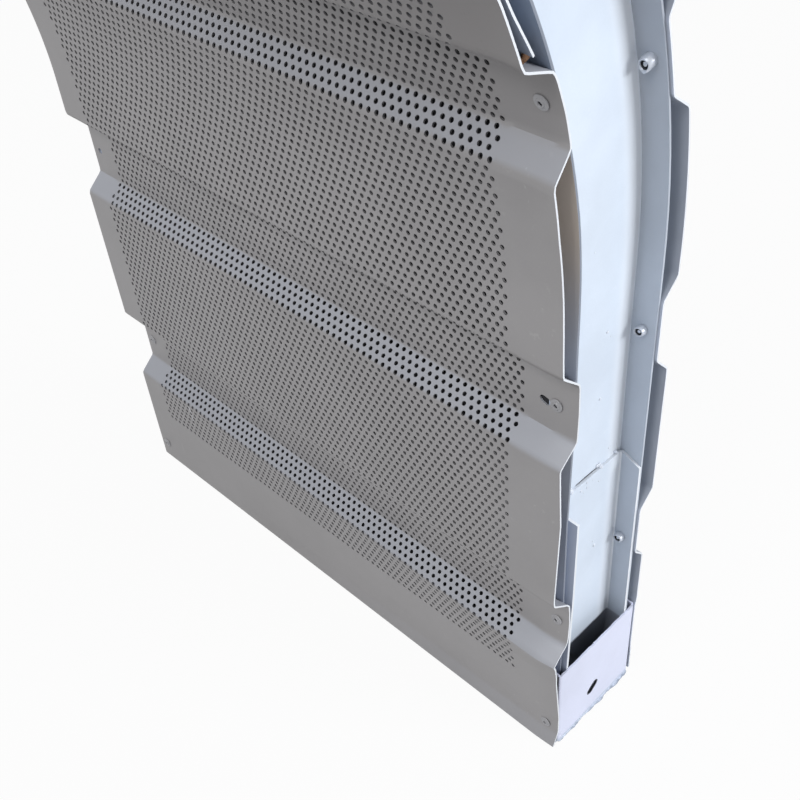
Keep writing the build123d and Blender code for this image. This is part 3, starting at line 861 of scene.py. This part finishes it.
def rivetPiece(name, side, rise, x, seed):
    k = rivetLook
    noise = np.random.default_rng(seed)
    seat, grip = rivetSeat(side, rise, x)
    radius = runRadius(side)
    angle = max(rise - bend["straight"], 0) / radius
    reach = radius + side * seat
    origin = np.array([x, centreY + reach * math.cos(angle),
                       bend["lift"] + min(rise, bend["straight"]) + reach * math.sin(angle)])
    out = np.array([0, side * math.cos(angle), side * math.sin(angle)])
    across = np.array([1.0, 0, 0])
    up = np.cross(out, across)
    turns = np.radians(np.arange(k["turns"]) * 360 / k["turns"] + noise.uniform(0, 18))
    torn = name == k["torn"]
    tilt = noise.normal(0, 0.035, 2) * (3.5 if torn else 1)
    b = Builder()
    for part, base in (("head", 0.0), ("tail", -grip)):
        rows = []
        stretch = noise.uniform(0.9, 1.06)
        for r, h in k[part]:
            rr, hh = np.full(len(turns), r), np.full(len(turns), h)
            if part == "tail":
                far = min(abs(h) / 6, 1)
                rough = noise.normal(0, 0.10 if torn else 0.04, len(turns))
                rr = rr * (1 + far * (0.06 * np.cos(2 * turns + seed) + rough * 0.4)) * (1.08 if torn else 1)
                split = np.maximum(np.cos(turns - 1.2), 0) if torn else 0
                hh = hh * stretch - far * (rough * 2.0 + split)
            else:
                rr = rr * (1 + 0.012 * np.cos(2 * turns + seed))
            point = origin + np.outer(rr * np.cos(turns), across) + np.outer(rr * np.sin(turns), up)
            if part == "tail":
                point = point + np.outer(hh * tilt[0], across) + np.outer(hh * tilt[1], up)
            rows.append(point + np.outer(base + hh, out))
        rows = np.stack(rows) * mm
        at = b.add(rows) + np.arange(rows.shape[0] * rows.shape[1]).reshape(rows.shape[:2])
        # painted shade in the hole and the bore
        shadeFrom, shadeTo = k[part + "Dark"]
        for r in range(len(rows) - 1):
            pair = (at[r], at[r + 1]) if part == "head" else (at[r + 1], at[r])
            b.ring(*pair, 2 if shadeFrom <= r <= shadeTo else (0 if part == "head" else 1))
    face, _, hand, number = name.split("_")
    piece = b.build("rivet" + face.capitalize() + hand.capitalize() + number,
                    [coats["rivet"], coats["tail"], coats["dark"]], sharp=30)
    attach(piece, "root")
    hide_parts(name)


frontRises = rivetRises(frontLook, rivetLook["frontAbove"], rivetLook["frontTop"])
backRises = rivetRises(backLook, rivetLook["backAbove"], rivetLook["backTop"])
seed = 11
for hand, sign in (("right", 1), ("left", -1)):
    insets = rivetLook["frontRight"] if sign > 0 else rivetLook["frontLeft"]
    for index, (rise, inset) in enumerate(zip(frontRises, insets)):
        seed += 1
        if sign > 0 or index != rivetLook["lost"]:
            place = sign * (bend["halfLength"] - inset)
            rivetPiece(f"front_rivet_{hand}_{index + 1}", -1, rise, place, seed)
    for index, rise in enumerate(backRises):
        seed += 1
        place = sign * (bend["halfLength"] - rivetLook["backInset"])
        rivetPiece(f"back_rivet_{hand}_{index + 1}", 1, rise, place, seed)
print("rivets")

# weld tacks on the joint above the sleeve, spatter and small dents in the paint of the web
weldLook = {
    "sleeveX": 232.6, "webX": 230.55,
    "tacks": [(11.5, 240.2, 2.2), (-19.4, 240.0, 2.6), (-27.5, 238.5, 1.6), (29.5, 240, 1.5)],
    "spatter": [(-2.7, 236.4, 1.1), (-8.7, 233.2, 1.2), (-2.4, 231.6, 0.9), (10.3, 228.3, 0.9),
                (-6.0, 229.5, 0.6), (3.5, 234.2, 0.6), (10.0, 165.9, 1.4), (8.6, 171.0, 0.7),
                (-14.0, 203.0, 0.5)],
    "marks": [(10.9, 348.1, 1.2), (8.0, 299.0, 1.2), (21.7, 248.9, 1.0), (14.5, 343.0, 0.5),
              (-6.0, 410.0, 0.5)],
}


def weldPiece(name):
    b = Builder()
    noise = np.random.default_rng(3)
    webX, sleeveX = weldLook["webX"], weldLook["sleeveX"]
    for key, x in (("tacks", webX), ("spatter", sleeveX), ("marks", webX)):
        for y, z, size in weldLook[key]:
            blob(b, (x - 0.05, y, z), size, noise, 0.9 if key == "tacks" else 0.5)
            if key == "tacks":
                blob(b, (sleeveX - 0.8, y + 1.1, z - 1.0), size * 0.8, noise, 0.7)
                blob(b, (x - 0.05, y - 1.6, z + 0.7), size * 0.6, noise, 0.7)
    piece = b.build(name, [coats["weld"]], sharp=50)
    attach(piece, "root")


weldPiece("weldTacks")
gapLook = {"low": -12.5, "high": 9.5, "count": 18, "width": 0.95, "rough": 0.12, "ends": 0.2}


def gapPiece(name, look):
    # joint between the web and the slanting top of the sleeve: a dark strip laid over the web, not a gap, as
    # painted shade of the open joint
    b = Builder()
    count = look["count"]
    ys = np.linspace(look["low"], look["high"], count)
    noise = np.random.default_rng(8)
    low = np.full(count, sleeveLook["topWeb"] - 0.1)
    high = low + look["width"] + noise.normal(0, look["rough"], count)
    high[[0, -1]] = low[[0, -1]] + look["ends"]
    x = np.full(count, weldLook["webX"] + 0.06)
    rows = np.stack([np.stack([x, ys, z], -1) for z in (low, high)]) * mm
    at = b.add(rows) + np.arange(2 * count).reshape(2, count)
    b.strip(at[0], at[1])
    piece = b.build(name, [coats["dark"]])
    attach(piece, "root")


gapPiece("sleeveJoint", gapLook)
foamLook = {"rise": 548.5, "crumbs": [(3.5, 241, 1.6), (5.5, 242.5, 2.0), (7.5, 243.5, 2.3), (9.5, 244, 2.2),
                                      (11.5, 244, 1.9)]}


def foamPiece(name, look):
    # crumbs of foam strip left in the lap, behind the lip of the upper sheet: depth, x, size
    b = Builder()
    noise = np.random.default_rng(21)
    angle = (look["rise"] - bend["straight"]) / bend["radius"]
    for depth, x, size in look["crumbs"]:
        reach = bend["radius"] - depth
        blob(b, (x, centreY + reach * math.cos(angle), bendZ + reach * math.sin(angle)), size, noise, 0.8)
    piece = b.build(name, [coats["foam"]], sharp=60)
    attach(piece, "root")


foamPiece("foamCrumbs", foamLook)
print("welds and foam")

nodeCoats = {"base_channel": "base", "base_plate": "base", "top_channel": "base", "top_plate": "base",
             "end_web": "web", "front_flange": "frontFlange", "rear_flange": "rearFlange", "sleeve": "web"}
for name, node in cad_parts.items():
    kind = next((k for k in nodeCoats if name.startswith(k)), None)
    if kind:
        coat = coats[nodeCoats[kind]]
    elif name == "absorber_core":
        coat = fleece
    else:
        continue
    node.data.materials.clear()
    node.data.materials.append(coat)
print("nodes coated")

# floor, light and camera
studio = {
    "floor": 6.0, "floorColour": (0.6, 0.6, 0.61, 1), "floorWhite": 0.95,
    "sky": 0.36, "skyTint": (0.94, 0.97, 1, 1), "white": (1, 1, 1, 1),
    "lens": 45.92, "sensor": 36, "shift": (-0.1371, -0.0096),
    "eye": (0.5083, -0.3855, 0.7013), "turn": (50.327, 0.166, 41.676),
}
lamps = {
    "keyLamp": {"spot": (2.3, 0.9, 1.2), "target": (0.1, 0, 0.35), "size": (1.0, 0.35), "watts": 51,
                "tint": (0.98, 0.99, 1)},
    "frontLamp": {"spot": (0.4, -2.1, 2.5), "target": (0, -0.1, 0.4), "size": (1.1, 1.1), "watts": 42,
                  "tint": (1, 0.99, 0.98)},
}


def seenRays(tree):
    # camera, glossy and transmission rays see the plain white
    camera, glossy, through = (addNode(tree, "ShaderNodeLightPath", None, name) for name in (
        "Is Camera Ray", "Is Glossy Ray", "Is Transmission Ray"))
    total = camera + glossy + through
    return total.maths("MINIMUM", total, 1.0)


def makeFloor():
    mesh = bpy.data.meshes.new("floor")
    s = studio["floor"]
    mesh.from_pydata([(-s, -s, 0), (s, -s, 0), (s, s, 0), (-s, s, 0)], [], [(0, 1, 2, 3)])
    floor = bpy.data.objects.new("floor", mesh)
    scene.collection.objects.link(floor)
    material, tree = newMaterial("paleFloor")
    shader = addNode(tree, "ShaderNodeBsdfDiffuse", None, 0, Color=studio["floorColour"])
    glow = addNode(tree, "ShaderNodeEmission", None, 0, Color=studio["white"], Strength=1.0)
    share = seenRays(tree) * studio["floorWhite"]
    mixed = addNode(tree, "ShaderNodeMixShader", None, 0, i0=share, i1=shader, i2=glow)
    finishMaterial(tree, mixed)
    mesh.materials.append(material)


makeFloor()
world = bpy.data.worlds.new("studioSky")
world.use_nodes = True
tree = world.node_tree
tree.nodes.clear()
white = addNode(tree, "ShaderNodeBackground", None, 0, Color=studio["white"], Strength=1.0)
soft = addNode(tree, "ShaderNodeBackground", None, 0, Color=studio["skyTint"], Strength=studio["sky"])
mixed = addNode(tree, "ShaderNodeMixShader", None, 0, i0=seenRays(tree), i1=soft, i2=white)
addNode(tree, "ShaderNodeOutputWorld", Surface=mixed)
scene.world = world


def areaLight(name, spot, target, size, watts, tint):
    light = bpy.data.lights.new(name, "AREA")
    light.shape = "RECTANGLE"
    light.size, light.size_y = size
    light.energy = watts
    light.color = tint
    lamp = bpy.data.objects.new(name, light)
    lamp.location = spot
    lamp.rotation_euler = (Vector(target) - Vector(spot)).to_track_quat("-Z", "Y").to_euler()
    scene.collection.objects.link(lamp)


for name, look in lamps.items():
    areaLight(name, **look)

camera = bpy.data.cameras.new("camera")
camera.sensor_width = studio["sensor"]
camera.lens = studio["lens"]
camera.shift_x, camera.shift_y = studio["shift"]
eye = bpy.data.objects.new("camera", camera)
eye.location = studio["eye"]
eye.rotation_euler = [math.radians(a) for a in studio["turn"]]
scene.collection.objects.link(eye)
scene.camera = eye
scene.view_settings.view_transform = "Standard"
print("studio and camera")
